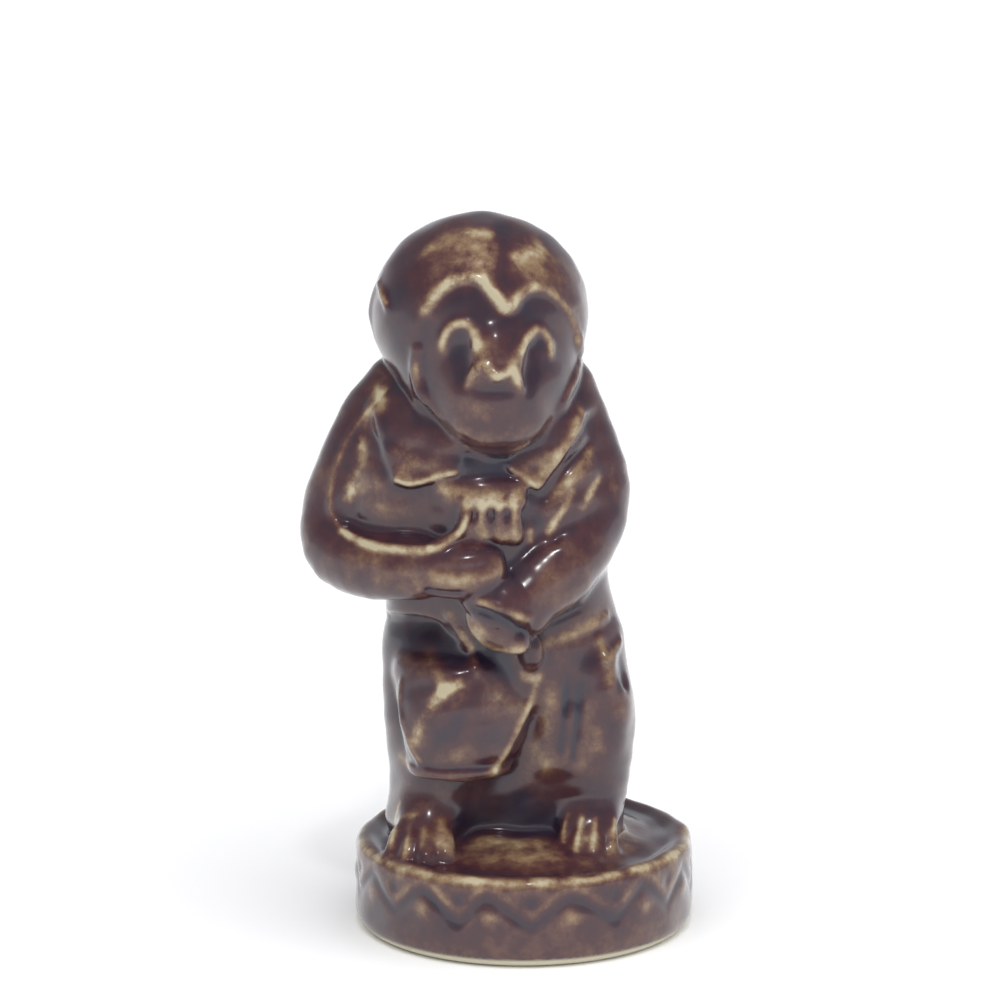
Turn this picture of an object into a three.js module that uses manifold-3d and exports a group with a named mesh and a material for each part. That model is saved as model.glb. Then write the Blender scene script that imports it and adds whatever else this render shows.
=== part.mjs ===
// A glazed porcelain miniature, pressed and fired in one piece: a monkey in a short open jacket and
// wide trousers, arms crossed low and one knee forward, on a round circus drum with a zigzag groove.
// Millimetres, +Z up. The origin is the centre of the drum's underside, and the monkey looks along -Y.

import * as THREE from 'three';
import { mergeVertices } from 'three/addons/utils/BufferGeometryUtils.js';
import Module from 'manifold-3d';

// Driving dimensions
const FIGURE_HEIGHT = 35.8; // from the drum's rim to the crown of the head
const DRUM_DIAMETER = 19.2;
const DRUM_HEIGHT = 5.2;
const RIM_ROUNDING = 0.5; // fillet radius along the rim's outer edge
const FOOT_ROUNDING = 0.8; // fillet radius along the drum's lower edge
const GUTTER_DEPTH = 0.25; // how far the drum's top dips inside its rim
const GUTTER_WIDTH = 1.3;
const MOUND_RISE = 0.7; // how far the drum's top rises above the rim in the middle

// The groove pressed round the drum's wall
const ZIGZAG_COUNT = 14;
const ZIGZAG_LOW = 2.5; // height of the groove's lower bends
const ZIGZAG_HIGH = 4.05; // height of its upper bends
const ZIGZAG_WIDTH = 0.5;
const ZIGZAG_DEPTH = 0.22;
const ZIGZAG_TURN = 2.5; // degrees from the front of the drum to the nearest lower bend

// Relief pressed into the figure
const CLOTH_STEP = 0.42; // how far the turned-down collar stands off the jacket
const CUFF_STEP = 0.2;
const TOE_RADIUS = 0.46;
const BROW_RADIUS = 0.42; // the heart-shaped edge of fur round the face
const LID_RADIUS = 0.3;

// The figure is laid out on a scale of 36 parts from soles to crown, measured from the centre of the
// drum's top: x to the monkey's left, y to its back, z up.
const PARTS = 36;
const part = FIGURE_HEIGHT / PARTS;

const wasm = await Module();
wasm.setup();

const place = ([x, y, z]) => new THREE.Vector3(x, y, z).multiplyScalar(part);
const degrees = THREE.MathUtils.degToRad;

// A closed three.js geometry as a solid that can be joined and cut
function solid(geometry) {
  const bare = geometry.index ? geometry.toNonIndexed() : geometry.clone();
  bare.deleteAttribute('normal');
  bare.deleteAttribute('uv');
  const merged = mergeVertices(bare, 1e-4);
  return new wasm.Manifold(new wasm.Mesh({
    numProp: 3,
    vertProperties: merged.attributes.position.array,
    triVerts: new Uint32Array(merged.index.array),
  }));
}

function geometryOf(manifold) {
  const { numProp, numVert, vertProperties, triVerts } = manifold.getMesh();
  const positions = new Float32Array(numVert * 3);
  for (let i = 0; i < numVert; i++) {
    positions.set(vertProperties.subarray(i * numProp, i * numProp + 3), i * 3);
  }
  const geometry = new THREE.BufferGeometry();
  geometry.setAttribute('position', new THREE.BufferAttribute(positions, 3));
  geometry.setIndex(new THREE.BufferAttribute(triVerts, 1));
  geometry.computeVertexNormals();
  return geometry;
}

const join = (solids) => solids.reduce((whole, next) => whole.add(next));

// A modelled mass: an ellipsoid with its centre and radii in parts
function ball(centre, radii, sides = 16, rings = 12) {
  const geometry = new THREE.SphereGeometry(1, sides, rings).rotateX(Math.PI / 2);
  geometry.scale(...radii.map((radius) => radius * part));
  return solid(geometry.translate(...place(centre)));
}

// A limb with round ends, through stations [x, y, z, radius]. The sphere's poles become its two ends.
function limb(stations, sides = 12, rings = 12) {
  const curve = new THREE.CatmullRomCurve3(stations.map(place));
  const radii = stations.map((station) => station[3] * part);
  const length = curve.getLength();
  const [first, last] = [radii[0], radii.at(-1)];
  const spread = length + first + last;
  const geometry = new THREE.SphereGeometry(1, sides, rings);
  const { position } = geometry.attributes;
  const down = new THREE.Vector3(0, 0, -1);
  const vertex = new THREE.Vector3();
  for (let i = 0; i < position.count; i++) {
    vertex.fromBufferAttribute(position, i);
    const along = spread * (1 - vertex.y) / 2 - first;
    const share = THREE.MathUtils.clamp(along / length, 0, 1);
    const slot = Math.min(share * (radii.length - 1), radii.length - 1.001);
    const radius = THREE.MathUtils.lerp(radii[Math.floor(slot)], radii[Math.floor(slot) + 1], slot % 1);
    const over = Math.max(-along / first, (along - length) / last, 0);
    const ring = Math.max(Math.hypot(vertex.x, vertex.z), 1e-6);
    const isPole = Math.abs(vertex.y) > 1 - 1e-6;
    const reach = isPole ? 0 : radius * Math.sqrt(Math.max(0, 1 - over ** 2));
    const point = curve.getPointAt(share);
    const tangent = curve.getTangentAt(share);
    const across = new THREE.Vector3(vertex.z / ring * reach, vertex.x / ring * reach, 0);
    across.applyQuaternion(new THREE.Quaternion().setFromUnitVectors(down, tangent));
    point.addScaledVector(tangent, along - share * length).add(across);
    position.setXYZ(i, ...point);
  }
  return solid(geometry);
}

// A prism through the figure from front to back, with its outline [x, z] in parts as seen from the front
function cutout(outline, front, back) {
  const shape = new THREE.Shape(outline.map(([x, z]) => new THREE.Vector2(x, z).multiplyScalar(part)));
  const geometry = new THREE.ExtrudeGeometry(shape, { depth: (back - front) * part, bevelEnabled: false });
  geometry.rotateX(Math.PI / 2).translate(0, back * part, 0);
  return solid(geometry);
}

const grown = (stations, step) => stations.map(([x, y, z, radius]) => [x, y, z, radius + step / part]);

// The drum

function drumWall() {
  const radius = DRUM_DIAMETER / 2;
  const profile = new THREE.Path();
  profile.moveTo(0, 0);
  profile.lineTo(radius - FOOT_ROUNDING, 0);
  profile.absarc(radius - FOOT_ROUNDING, FOOT_ROUNDING, FOOT_ROUNDING, -Math.PI / 2, 0, false);
  profile.absarc(radius - RIM_ROUNDING, DRUM_HEIGHT - RIM_ROUNDING, RIM_ROUNDING, 0, Math.PI / 2, false);
  profile.lineTo(radius - RIM_ROUNDING - GUTTER_WIDTH, DRUM_HEIGHT - GUTTER_DEPTH);
  profile.lineTo(radius / 2, DRUM_HEIGHT + MOUND_RISE * 0.7);
  profile.lineTo(0, DRUM_HEIGHT + MOUND_RISE);
  const points = profile.getPoints(1);
  return solid(new THREE.LatheGeometry(points, ZIGZAG_COUNT * 3).rotateX(Math.PI / 2));
}

// Wraps a flat pattern round the drum: x runs along the wall, y up it and z outwards from it
function wrap(geometry, turn) {
  const radius = DRUM_DIAMETER / 2;
  const { position } = geometry.attributes;
  for (let i = 0; i < position.count; i++) {
    const angle = turn + position.getX(i) / radius;
    const reach = radius + position.getZ(i);
    position.setXYZ(i, reach * Math.sin(angle), -reach * Math.cos(angle), position.getY(i));
  }
  return solid(geometry);
}

function zigzagCutters() {
  const half = Math.PI * DRUM_DIAMETER / ZIGZAG_COUNT / 2;
  const lap = 0.02;
  const stand = ZIGZAG_WIDTH * Math.hypot(half, ZIGZAG_HIGH - ZIGZAG_LOW) / half / 2;
  const bends = [[-half - lap, ZIGZAG_LOW], [0, ZIGZAG_HIGH], [half + lap, ZIGZAG_LOW]];
  const lower = bends.map(([x, height]) => new THREE.Vector2(x, height - stand));
  const upper = bends.map(([x, height]) => new THREE.Vector2(x, height + stand)).reverse();
  const chevron = new THREE.Shape([...lower, ...upper]);
  const cutters = [];
  for (let i = 0; i < ZIGZAG_COUNT; i++) {
    const turn = degrees(ZIGZAG_TURN) + (i + 0.5) * 2 * Math.PI / ZIGZAG_COUNT;
    const groove = new THREE.ExtrudeGeometry(chevron, { depth: 2 * ZIGZAG_DEPTH, bevelEnabled: false });
    cutters.push(wrap(groove.translate(0, 0, -ZIGZAG_DEPTH), turn));
  }
  return cutters;
}

function drum() {
  return zigzagCutters().reduce((wall, cutter) => wall.subtract(cutter), drumWall());
}

// Feet: a flat sole with four long toes, each drawn out from the instep

function foot(heel, instep, toeEnds) {
  const toes = toeEnds.map(([x, y], i) => {
    const spread = (i / (toeEnds.length - 1) - 0.5) * 2.2;
    return limb([
      [instep[0] + spread * 0.8, instep[1], instep[2], TOE_RADIUS / part],
      [x * 0.5 + (instep[0] + spread) * 0.5, y * 0.6 + instep[1] * 0.4, 0.95, TOE_RADIUS / part],
      [x, y, 0.25, TOE_RADIUS * 0.85 / part],
    ], 6, 6);
  });
  return [limb([heel, [...instep.slice(0, 2), 0.7, 1.5]], 10, 7), ...toes];
}

function feet() {
  return [
    ...foot(
      [-5.5, -0.8, 0.8, 1.7],
      [-5.6, -3.5, 1.5],
      [[-7.3, -4.4], [-6.5, -5.2], [-5.5, -5.7], [-4.4, -5.5]],
    ),
    ...foot(
      [3.4, 0.2, 0.8, 1.8],
      [3.7, -2.4, 1.6],
      [[2.35, -3.9], [3.15, -4.3], [4.0, -4.4], [4.95, -4.2]],
    ),
  ];
}

// Trousers: the right knee is bent forward over the drum, and the left leg bears the weight

const HIP_LINE = 12;
const CUFF_TOP = 5.0;
const CUFF_BOTTOM = 4.2;
const RAISED_LEG = [
  [[-4.9, -1.4, 9.8, 2.5], [-4.75, -2.6, 7.6, 2.3], [-4.45, -2.9, 4.4, 1.95]],
  [[-3.5, -2.4, 9.7, 2.9], [-3.4, -3.0, 7.6, 2.6], [-3.6, -3.0, 4.4, 2.0]],
  [[-1.3, -1.4, 9.6, 2.4], [-1.9, -2.5, 7.4, 2.2], [-2.9, -2.8, 4.4, 1.75]],
];

function trouserLeg(step, top, bottom) {
  const legs = join(RAISED_LEG.map((stations) => limb(grown(stations, step), 12, 7)));
  return legs.trimByPlane([0, 0, 1], bottom * part).trimByPlane([0, 0, -1], -top * part);
}

function trousers() {
  const hips = ball([-1.1, 0.5, 11.2], [6.6, 4.5, 4.6], 14, 9);
  const between = [-2.3, 0.9].map((x) => (
    limb([[x, 2.9, 11, 1.9], [x, 3.1, 6, 1.9], [x, 3.1, 1.2, 2.1]], 10, 8)
  ));
  const ankle = limb([[-4.4, -1.4, 5.6, 2.2], [-5.1, -1.7, 1.2, 1.9]], 12, 8);
  const rightSide = limb([
    [-5.3, 0.8, 11, 2.7],
    [-5.4, 0.7, 7, 2.6],
    [-5.3, 0.6, 3.6, 2.4],
    [-5.6, 0.3, 1.2, 2.2],
  ], 12, 10);
  const leftLeg = limb([
    [2.5, 0.3, 11.2, 3.0],
    [3.25, -0.3, 7.4, 3.1],
    [3.3, -0.5, 3.8, 2.75],
    [3.4, -0.5, 1.2, 2.2],
  ], 12, 10);
  const folds = [
    [[4.2, -2.2, 9.8, 0.9], [4.9, -2.4, 8.0, 0.8], [4.6, -2.5, 6.0, 0.6]],
    [[1.8, -2.4, 9.4, 0.8], [2.1, -2.7, 7.4, 0.75], [1.9, -2.6, 5.0, 0.6]],
  ].map((stations) => limb(stations, 7, 6));
  const thigh = trouserLeg(0, HIP_LINE, CUFF_TOP - 0.4);
  const cuff = trouserLeg(CUFF_STEP, CUFF_TOP, CUFF_BOTTOM);
  return [hips, ...between, thigh, cuff, ankle, rightSide, leftLeg, ...folds];
}

// The jacket, cut along its hem: it hangs in a point on each side of the front, arches over the raised
// thigh, and runs level round the back

const FRONTS = [
  [[-6.1, -0.6, 23.4, 3.0], [-6.5, -0.6, 19.8, 3.5], [-4.7, -0.2, 15.4, 3.3], [-4.6, 0.6, 12.2, 3.3]],
  [[-2.8, -1.1, 23.0, 3.5], [-2.6, -1.1, 19.4, 4.1], [-1.7, -0.7, 15.4, 4.3], [-1.4, 0.6, 12.2, 4.2]],
  [[0.9, -0.6, 23.4, 3.0], [1.3, -0.5, 19.8, 3.6], [1.2, -0.2, 15.4, 3.5], [1.8, 0.6, 12.2, 3.5]],
];
const BACKS = [
  [[-5.9, 1.4, 23.9, 3.0], [-6.1, 1.4, 19.6, 3.6], [-4.6, 1.4, 15.4, 3.3], [-4.6, 1.3, 12.2, 3.2]],
  [[-2.7, 1.6, 24.0, 3.5], [-2.5, 1.6, 19.6, 4.1], [-1.6, 1.3, 15.4, 4.1], [-1.4, 1.3, 12.2, 3.9]],
  [[0.7, 1.4, 23.9, 3.0], [1.1, 1.4, 19.6, 3.6], [1.2, 1.4, 15.4, 3.4], [1.8, 1.3, 12.2, 3.3]],
];

function jacket() {
  const masses = join([...FRONTS, ...BACKS].map((stations) => limb(stations, 12, 9)));
  const frontHem = [
    [-9, 12.9], [-7.8, 12.9], [-6.1, 13.5], [-4.7, 13.4], [-3.8, 12.5], [-3.2, 10.9], [-2.4, 10.9],
    [-2.2, 12.6], [0.2, 12.4], [0.5, 11.5], [1.2, 11.7], [3.0, 12.5], [4.7, 12.9], [8, 13],
  ];
  const front = cutout([...frontHem, [8, 30], [-9, 30]], -9, 0.4);
  const back = cutout([[-9, 12.6], [8, 12.6], [8, 30], [-9, 30]], 0.2, 9);
  const lining = limb([[-4.4, 0.6, 13.2, 3.1], [-1.5, 0.6, 13.6, 3.9], [1.4, 0.6, 13.2, 3.1]], 12, 8);
  return [masses.intersect(front.add(back)), lining];
}

// Turned-down collar: the chest grown outwards, kept only inside the collar's outline

function collar() {
  const [front, back] = [FRONTS, BACKS].map((columns) => (
    join(columns.map((stations) => limb(grown(stations, CLOTH_STEP), 12, 9)))
  ));
  const right = [
    [-8.8, 25.6], [-7.9, 23.2], [-7.3, 21.2], [-5.6, 21.4], [-3.6, 21.9], [-3.2, 23.4], [-4.4, 27], [-8, 28],
  ];
  const left = [
    [3.9, 25.2], [2.6, 23.4], [0.9, 21.0], [-0.2, 21.8], [-1.0, 22.3], [-0.8, 24], [0.2, 27], [3.6, 28],
  ];
  const nape = [[-7.4, 21.8], [-2.5, 21.2], [2.5, 21.8], [3.2, 25], [2.6, 28], [-7.6, 28], [-8.1, 25]];
  return [
    front.intersect(cutout(right, -9, 0)),
    front.intersect(cutout(left, -9, 0)),
    back.intersect(cutout(nape, 0.5, 9)),
  ];
}

// A pleated frill hangs below the collar between the jacket's edges

function frill() {
  const pleats = [-3.3, -2.25, -1.35, -0.5].map((x) => limb([
    [x, -4.7, 20.6, 0.5],
    [x, -5.05, 19.8, 0.42],
    [x * 0.95, -5.1, 18.8, 0.45],
  ], 6, 6));
  const band = limb([[-4.5, -4.4, 21.2, 0.5], [-2.5, -4.8, 20.95, 0.65], [-0.4, -4.5, 21.2, 0.5]], 7, 6);
  return [...pleats, band];
}

// Sleeves and hands: the right hand lies over the left wrist with its thumb up, and the left hand
// hangs below it

const RIGHT_SLEEVE = [
  [-6.9, 0.5, 25.6, 2.2], [-8.3, 0.3, 23.6, 2.3], [-9.7, 0, 20.5, 2.3], [-10.35, -0.3, 18.2, 2.25],
  [-10.0, -1.4, 16.9, 2.15], [-8.2, -3.3, 16.6, 2.0], [-5.8, -4.7, 16.7, 1.8],
];
const LEFT_SLEEVE = [
  [1.85, 0.5, 25.7, 2.2], [3.0, 0.3, 22.7, 2.25], [3.7, 0, 20.2, 2.3], [3.3, -1.0, 18.2, 2.3],
  [1.9, -3.0, 16.4, 2.25], [0.2, -4.2, 15.1, 2.0],
];

function arms() {
  const rightFingers = [17.75, 16.9, 16.1].map((z, i) => limb([
    [-4.9, -5.2, z, 0.75],
    [-3.2, -5.9, z, 0.75],
    [-1.4 - 0.4 * i, -6.0, z + 0.25, 0.6],
  ], 7, 6));
  const thumb = limb([[-4.8, -5.6, 18.1, 0.5], [-3.6, -5.5, 18.9, 0.42], [-3.1, -5.3, 20.0, 0.35]], 6, 6);
  const leftFingers = [0, 1, 2].map((i) => limb([
    [-2.2 + 0.8 * i, -5.1, 14.6 - 0.45 * i, 0.75],
    [-2.0 + 0.8 * i, -5.5, 13.6 - 0.45 * i, 0.7],
    [-1.4 + 0.65 * i, -5.3, 12.9 - 0.25 * i, 0.55],
  ], 7, 6));
  const cuff = limb([[-2.5, -5.0, 15.6, 1.3], [-1.2, -5.1, 14.8, 1.75], [0.1, -4.7, 14.2, 1.5]], 10, 7);
  return [
    limb(RIGHT_SLEEVE, 12, 13),
    limb(LEFT_SLEEVE, 12, 12),
    ball([-3.6, -4.9, 16.9], [2.1, 1.4, 1.6], 10, 7),
    ...rightFingers,
    thumb,
    cuff,
    ball([-1.3, -4.8, 13.7], [1.9, 1.2, 1.5], 10, 7),
    ...leftFingers,
  ];
}

// The head, in its own frame with the face along -Y, turned and tilted on the neck

const HEAD = { centre: [-2.5, 0, 29.9], turn: 12, tilt: 6 };
const EYE_SPACING = 4.3;
const SKULL = [
  { centre: [0.1, 0.3, 0.3], radii: [6.1, 5.6, 5.65] },
  { centre: [0.6, -1.5, -2.85], radii: [4.9, 4.5, 4.4] },
];

// A station of relief that lies on the front of the skull at [x, z]
function onSkull(x, z, radius) {
  const fronts = SKULL.map(({ centre, radii }) => {
    const inside = 1 - ((x - centre[0]) / radii[0]) ** 2 - ((z - centre[2]) / radii[2]) ** 2;
    return inside > 0 ? centre[1] - radii[1] * Math.sqrt(inside) : 0;
  });
  return [x, Math.min(...fronts), z, radius / part];
}

const mirrored = (stations) => stations.map(([x, ...rest]) => [-x, ...rest]);

function ears() {
  const rim = [
    [-5.1, 0.1, 1.6, 0.45],
    [-5.5, 0.9, 1.0, 0.5],
    [-5.55, 1.2, -0.2, 0.5],
    [-5.2, 0.8, -1.2, 0.45],
  ];
  return [rim, mirrored(rim)].map((stations) => limb(stations, 7, 8));
}

function face() {
  const brow = [
    [0, 1.75], [-0.75, 2.7], [-1.8, 3.15], [-3.1, 2.5], [-4.1, 1.0], [-4.45, -0.9], [-4.2, -2.6], [-3.2, -4.6],
    [0, -6.2],
  ];
  const lid = [0, 1, 2, 3, 4].map((i) => {
    const angle = degrees(-30 + 60 * i);
    return [EYE_SPACING / 2 + Math.cos(angle), -0.6 + 1.2 * Math.sin(angle)];
  });
  const nostril = [
    [0.1, -6.75, -2.0, 0.36],
    [0.6, -6.6, -1.55, 0.38],
    [1.15, -6.1, -1.75, 0.34],
    [1.6, -5.5, -2.5, 0.3],
  ];
  const paired = [
    limb(brow.map(([x, z]) => onSkull(x, z, BROW_RADIUS)), 6, 13),
    limb(brow.map(([x, z]) => onSkull(-x, z, BROW_RADIUS)), 6, 13),
    limb(lid.map(([x, z]) => onSkull(x, z, LID_RADIUS)), 5, 7),
    limb(lid.map(([x, z]) => onSkull(-x, z, LID_RADIUS)), 5, 7),
    limb(nostril, 6, 7),
    limb(mirrored(nostril), 6, 7),
  ];
  const bridge = limb([onSkull(0, 1.4, 0.6), [0, -5.35, -0.3, 0.85], [0, -5.75, -1.8, 0.85]], 8, 7);
  const muzzle = ball([0, -4.7, -3.5], [2.3, 2.2, 2.1], 12, 9);
  const chin = ball([0, -4.1, -5.1], [2.1, 1.6, 1.4], 10, 7);
  return [...paired, bridge, muzzle, chin];
}

function hollows() {
  const eyes = [-1, 1].map((side) => (
    ball([side * EYE_SPACING / 2, -5.75, -1.1], [0.85, 0.75, 1.5], 8, 7)
  ));
  const mouth = limb([[-1.3, -6.2, -4.3, 0.22], [0, -7.0, -3.9, 0.22], [1.3, -6.2, -4.3, 0.22]], 6, 7);
  const parting = limb([
    [0, -5.7, 2.3, 0.25],
    [0, -4.9, 4.2, 0.45],
    [0, -3.1, 5.6, 0.45],
    [0, -0.6, 6.3, 0.3],
  ], 6, 8);
  return [...eyes, mouth, parting];
}

function head() {
  const skull = SKULL.map(({ centre, radii }) => ball(centre, radii, 17, 11));
  const hollowed = hollows().reduce((whole, cut) => whole.subtract(cut), join([...skull, ...face()]));
  const turned = new THREE.Matrix4().makeRotationZ(degrees(HEAD.turn));
  turned.multiply(new THREE.Matrix4().makeRotationY(degrees(HEAD.tilt)));
  turned.setPosition(place(HEAD.centre));
  return join([hollowed, ...ears()]).transform(turned.elements);
}

// Hidden at the back: the tail comes out under the hem and curls down to the drum

function tail() {
  return limb([
    [-0.9, 4.0, 11.0, 1.0], [-0.8, 4.9, 8.6, 0.95], [-0.6, 5.1, 5.2, 0.9],
    [0.2, 5.3, 2.2, 0.85], [2.6, 5.4, 0.9, 0.75], [5.2, 4.2, 0.7, 0.5],
  ], 8, 13);
}

function figure() {
  const neck = limb([[-2.5, 0, 21, 3.7], [-2.3, 0.2, 26, 4.2]], 14, 8);
  const clothes = [...trousers(), ...jacket(), ...collar(), ...frill()];
  const body = join([...feet(), ...clothes, ...arms(), tail(), neck, head()]);
  return body.translate([0, 0, DRUM_HEIGHT]);
}

const glaze = new THREE.MeshStandardMaterial({ color: 0x5a2f24, roughness: 0.12, metalness: 0 });
const monkey = new THREE.Mesh(geometryOf(drum().add(figure())), glaze);
monkey.name = 'monkey_on_drum';

const figurine = new THREE.Group();
figurine.add(monkey);

export default figurine;
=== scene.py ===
import bpy
import numpy as np
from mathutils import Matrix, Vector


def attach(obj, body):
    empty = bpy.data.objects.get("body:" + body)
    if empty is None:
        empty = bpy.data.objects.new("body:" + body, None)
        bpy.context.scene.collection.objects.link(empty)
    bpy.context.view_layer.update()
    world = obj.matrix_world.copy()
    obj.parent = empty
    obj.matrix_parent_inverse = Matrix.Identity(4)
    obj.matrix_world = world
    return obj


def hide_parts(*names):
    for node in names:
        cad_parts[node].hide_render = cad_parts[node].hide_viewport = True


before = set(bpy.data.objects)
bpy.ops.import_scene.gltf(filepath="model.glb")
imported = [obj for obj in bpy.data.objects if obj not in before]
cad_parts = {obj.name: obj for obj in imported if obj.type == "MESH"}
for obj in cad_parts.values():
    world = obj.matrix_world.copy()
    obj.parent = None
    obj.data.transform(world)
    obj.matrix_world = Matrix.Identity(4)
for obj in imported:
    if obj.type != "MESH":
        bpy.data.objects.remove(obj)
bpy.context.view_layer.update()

# The drum. The whole figurine is one pressed piece of glazed porcelain, and the drum is its
# foot: low and round, with a zigzag pressed into its side and a soft mound on top. The
# piece is built up as distances to its surface, in millimetres, on a grid of points.
GRID = 0.12  # from one point to the next
REACH = 2.4  # the farthest distance that the grid keeps
LOW = np.array([-13.6, -10.8, -0.84])
HIGH = np.array([10.7, 10.8, 41.9])
COUNT = np.ceil((HIGH - LOW) / GRID).astype(int)
EVERYWHERE = tuple(slice(0, n) for n in COUNT)
AXES = [LOW[i] + GRID * np.arange(COUNT[i]) for i in range(3)]
DRUM_RADIUS = 9.6
DRUM_HEIGHT = 5.2
ZIGZAG_COUNT = 14
ZIGZAG_TURN = np.radians(2.5)
ZIGZAG_LOW = 2.5
ZIGZAG_HIGH = 4.05


def blank():
    """A layer in which nothing has been shaped yet."""
    return np.full(COUNT, REACH, np.float32)


def soft_min(a, b, soft):
    """The nearer of two distances, with a rounded join of that width where they meet."""
    gap = np.maximum(soft - np.abs(a - b), 0) / soft
    return np.minimum(a, b) - gap * gap * soft / 4


def soft_max(a, b, soft):
    return -soft_min(-a, -b, soft)


def window(low, high):
    """The part of the grid round a box, as slices and as open x, y and z columns."""
    first = np.clip(np.floor((low - LOW) / GRID).astype(int), 0, COUNT - 1)
    last = np.clip(np.ceil((high - LOW) / GRID).astype(int) + 1, 1, COUNT)
    cut = tuple(map(slice, first, last))
    return cut, [
        AXES[i][cut[i]].astype(np.float32).reshape([-1 if i == k else 1 for k in range(3)])
        for i in range(3)
    ]


def add(layer, shape, soft):
    cut, distance = shape
    layer[cut] = soft_min(layer[cut], distance, soft)


def carve(layer, shape, soft):
    cut, distance = shape
    layer[cut] = soft_max(layer[cut], -distance, soft)


# How far the hand-pressed bends stray, in degrees, at these angles round the drum.
UNEVEN_AT = [-180, -60, -36, -22, -13, 2, 16, 32, 44, 58, 100, 180]
UNEVEN_BY = [0, 0, 0, 0.7, -2.6, 0, 0.7, 4.4, 3.3, 3, 0, 0]


def drum_marks(angle, z):
    """The hand-pressed pattern on the drum's side: its pads, groove and pits from 0 to 1, and
    how far a point lies above the zigzag."""
    angle = angle - np.radians(np.interp(np.degrees(angle), UNEVEN_AT, UNEVEN_BY))
    turn = (angle - ZIGZAG_TURN) * ZIGZAG_COUNT / (2 * np.pi)
    off = np.abs(turn - np.round(turn)) * 2
    wave = ZIGZAG_LOW + (ZIGZAG_HIGH - ZIGZAG_LOW) * (0.5 * off + 0.25 - 0.25 * np.cos(np.pi * off))
    over = (z - wave) * 0.81
    across = off * np.pi * DRUM_RADIUS / ZIGZAG_COUNT
    under = np.pi * DRUM_RADIUS / ZIGZAG_COUNT - across
    pit = np.exp(-((across / 0.34) ** 2) - ((z - 3.85) / 0.34) ** 2)
    pad = np.exp(-((under / 0.55) ** 2) - ((z - 2.95) / 0.42) ** 2)
    return pad, np.exp(-((over / 0.3) ** 2)), pit, over


figure = blank()
cut, (x, y, z) = window(LOW, np.array([HIGH[0], HIGH[1], 9.5]))
span = np.sqrt(x * x + y * y)
angle = np.arctan2(x, -y)
pad, pressed, pit, over = drum_marks(angle, z)
side = span - DRUM_RADIUS - 0.08 * pad + 0.11 * pressed + 0.1 * pit + 0.02 * np.sin(3 * angle + 1)
mound = np.interp(span, [0, 3.5, 6, 7.3, 8.2, 8.8, 9.6], [0.7, 0.6, 0.2, -0.2, -0.27, 0.0, 0.02])
top = (z - DRUM_HEIGHT - mound) * 0.95
drum = soft_max(soft_max(side, top, 0.8), -z, 1.2)
figure[cut] = np.minimum(figure[cut], drum)

# The feet, legs and trousers. The monkey stands with its right knee bent forward in a
# wide trouser leg with a turned cuff. The clay between and behind the legs was left in, so
# that the piece would leave its mould. Sizes of the figure are in 36ths of its height.
PART = 35.8 / 36


def placed(stations):
    """Stations in parts from the middle of the drum's rim, as millimetres in the frame."""
    points = np.array(stations, float) * PART
    points[:, 2] += DRUM_HEIGHT
    return points


def curve(points, finer):
    """A smooth run of points through the given ones."""
    if len(points) < 3 or finer < 2:
        return points
    ends = np.vstack([2 * points[0] - points[1], points, 2 * points[-1] - points[-2]])
    run = []
    for a, b, c, d in zip(ends, ends[1:], ends[2:], ends[3:]):
        for s in np.arange(finer) / finer:
            bend = (2 * a - 5 * b + 4 * c - d) * s * s + (3 * b - a - 3 * c + d) * s**3
            run.append(0.5 * (2 * b + (c - a) * s + bend))
    return np.vstack([run, points[-1:]])


def rod(path):
    """A rounded limb along points [x, y, z, radius] in millimetres."""
    margin = path[:, 3].max() + REACH
    cut, _ = window(path[:, :3].min(0) - margin, path[:, :3].max(0) + margin)
    near = np.full([c.stop - c.start for c in cut], REACH, np.float32)
    for a, b in zip(path, path[1:]):
        margin = max(a[3], b[3]) + REACH
        own, (x, y, z) = window(np.minimum(a, b)[:3] - margin, np.maximum(a, b)[:3] + margin)
        inner = tuple(slice(o.start - c.start, o.stop - c.start) for o, c in zip(own, cut))
        step = b - a
        run = max(step[:3] @ step[:3], 1e-9)
        dx, dy, dz = x - np.float32(a[0]), y - np.float32(a[1]), z - np.float32(a[2])
        along = np.clip((dx * step[0] + dy * step[1] + dz * step[2]) / run, 0, 1).astype(np.float32)
        far = np.sqrt(
            (dx - along * step[0]) ** 2 + (dy - along * step[1]) ** 2 + (dz - along * step[2]) ** 2
        )
        near[inner] = np.minimum(near[inner], far - (a[3] + along * step[3]))
    return cut, near


def limb(stations, finer=3):
    return rod(curve(placed(stations), finer))


def ball(centre, radii, turn=np.eye(3)):
    """A rounded lump with three radii, turned with the head where it belongs to it."""
    centre = placed([centre])[0]
    radii = np.array(radii) * PART
    margin = radii.max() + REACH
    cut, (x, y, z) = window(centre - margin, centre + margin)
    x, y, z = x - centre[0], y - centre[1], z - centre[2]
    own = [(x * turn[0, i] + y * turn[1, i] + z * turn[2, i]) / radii[i] for i in range(3)]
    size = np.sqrt(own[0] ** 2 + own[1] ** 2 + own[2] ** 2)
    steep = np.sqrt(sum((own[i] / radii[i]) ** 2 for i in range(3)))
    return cut, (size * (size - 1) / np.maximum(steep, 1e-6)).astype(np.float32)


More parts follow.
